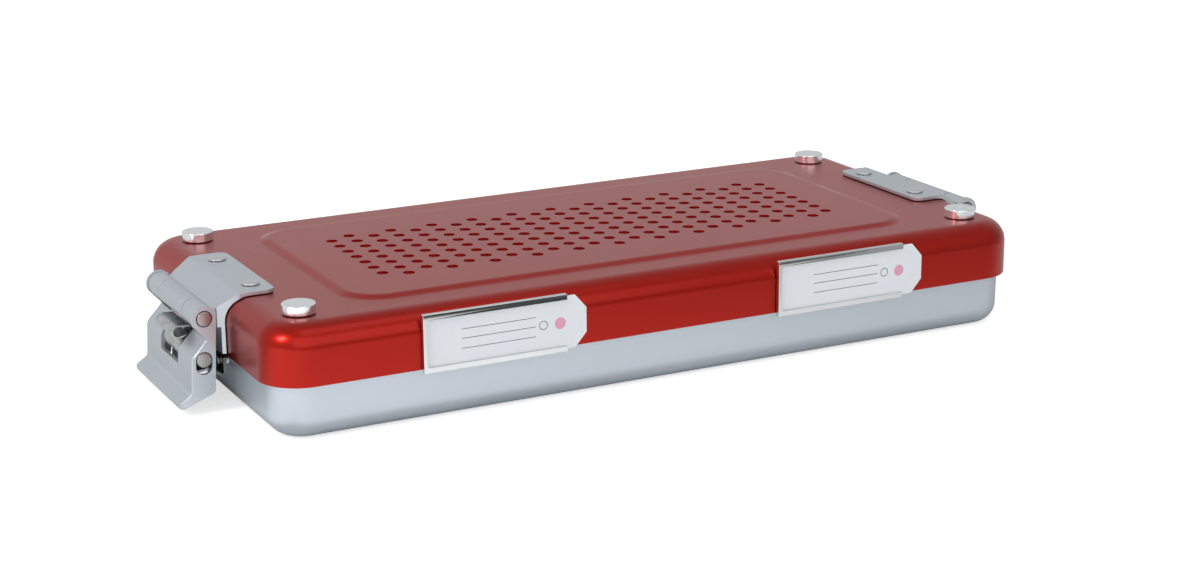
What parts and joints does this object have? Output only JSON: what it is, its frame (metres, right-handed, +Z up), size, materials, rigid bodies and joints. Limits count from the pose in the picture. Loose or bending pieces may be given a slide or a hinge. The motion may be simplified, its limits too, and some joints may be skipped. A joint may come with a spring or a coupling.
{
  "type": "sterilization container",
  "caption": "Flat rectangular sterilization container: silver pan, red perforated lid with stacking posts and label holders, and a lever latch at each end.",
  "frame": {"origin": "centre of the pan's flat underside, on the surface it stands on", "axes": "+X along the length towards the right latch, -Y the side with the label holders, +Z up"},
  "size_m": [0.3358, 0.1451, 0.0438],
  "materials": {
    "lid_red": "satin red anodised",
    "pan_silver": "satin silver anodised",
    "latch_grey": "fine satin, light grey",
    "bare_steel": "turned and cut stainless steel",
    "holder_steel": "polished stainless steel",
    "polished": "turned and polished",
    "silicone": "matt silicone",
    "filter_paper": "pressed non-woven filter",
    "label_white": "smooth white card"
  },
  "bodies": {
    "pan": {"pan_shell": "pan_silver", "pan_catch_left": "pan_silver", "catch_rivet_front_left": "polished", "catch_rivet_rear_left": "polished", "pan_catch_right": "pan_silver", "catch_rivet_front_right": "polished", "catch_rivet_rear_right": "polished"},
    "lid": {"lid_shell": "lid_red", "lid_gasket": "silicone", "filter_sheet": "filter_paper", "stack_post_front_left": "polished", "stack_post_rear_left": "polished", "stack_post_front_right": "polished", "stack_post_rear_right": "polished", "retainer_stud_front_left": "pan_silver", "retainer_stud_rear_left": "pan_silver", "retainer_stud_front_right": "pan_silver", "retainer_stud_rear_right": "pan_silver", "hinge_plate_left": "latch_grey", "hinge_pin_left": "bare_steel", "label_holder_left": "holder_steel", "plate_rivet_front_left": "polished", "plate_rivet_rear_left": "polished", "hinge_plate_right": "latch_grey", "hinge_pin_right": "bare_steel", "label_holder_right": "holder_steel", "plate_rivet_front_right": "polished", "plate_rivet_rear_right": "polished"},
    "lever_left": {"latch_lever_left": "latch_grey", "latch_spring_left": "bare_steel"},
    "catch_pin_left": {"catch_pin_left": "bare_steel", "latch_hook_left": "bare_steel"},
    "card_left": {"label_card_left": "label_white"},
    "lever_right": {"latch_lever_right": "latch_grey", "latch_spring_right": "bare_steel"},
    "catch_pin_right": {"catch_pin_right": "bare_steel", "latch_hook_right": "bare_steel"},
    "card_right": {"label_card_right": "label_white"},
    "retainer": {"filter_retainer": "pan_silver"}
  },
  "joints": [
    {"name": "lid_lift", "type": "slide", "parent": "pan", "child": "lid", "axis": [0, 0, 1], "range_m": [0, 0.06]},
    {"name": "latch_left", "type": "hinge", "parent": "lid", "child": "lever_left", "pos_m": [-0.1576, 0, 0.0341], "axis": [0, 1, 0], "range_deg": [0, 110], "deforming": ["latch_hook_left"]},
    {"name": "catch_pin_slide_left", "type": "slide", "parent": "lever_left", "child": "catch_pin_left", "axis": [-0.0523, 0, -0.9986], "range_m": [0, 0.0023], "stiffness_N_per_m": 400, "springref_m": -0.001},
    {"name": "card_slide_left", "type": "slide", "parent": "lid", "child": "card_left", "axis": [1, 0, 0], "range_m": [0, 0.06]},
    {"name": "latch_right", "type": "hinge", "parent": "lid", "child": "lever_right", "pos_m": [0.1576, 0, 0.0341], "axis": [0, -1, 0], "range_deg": [0, 110], "deforming": ["latch_hook_right"]},
    {"name": "catch_pin_slide_right", "type": "slide", "parent": "lever_right", "child": "catch_pin_right", "axis": [0.0523, 0, -0.9986], "range_m": [0, 0.0023], "stiffness_N_per_m": 400, "springref_m": -0.001},
    {"name": "card_slide_right", "type": "slide", "parent": "lid", "child": "card_right", "axis": [1, 0, 0], "range_m": [0, 0.06]},
    {"name": "retainer_slide", "type": "slide", "parent": "lid", "child": "retainer", "axis": [0, 1, 0], "range_m": [0, 0.0065]}
  ]
}
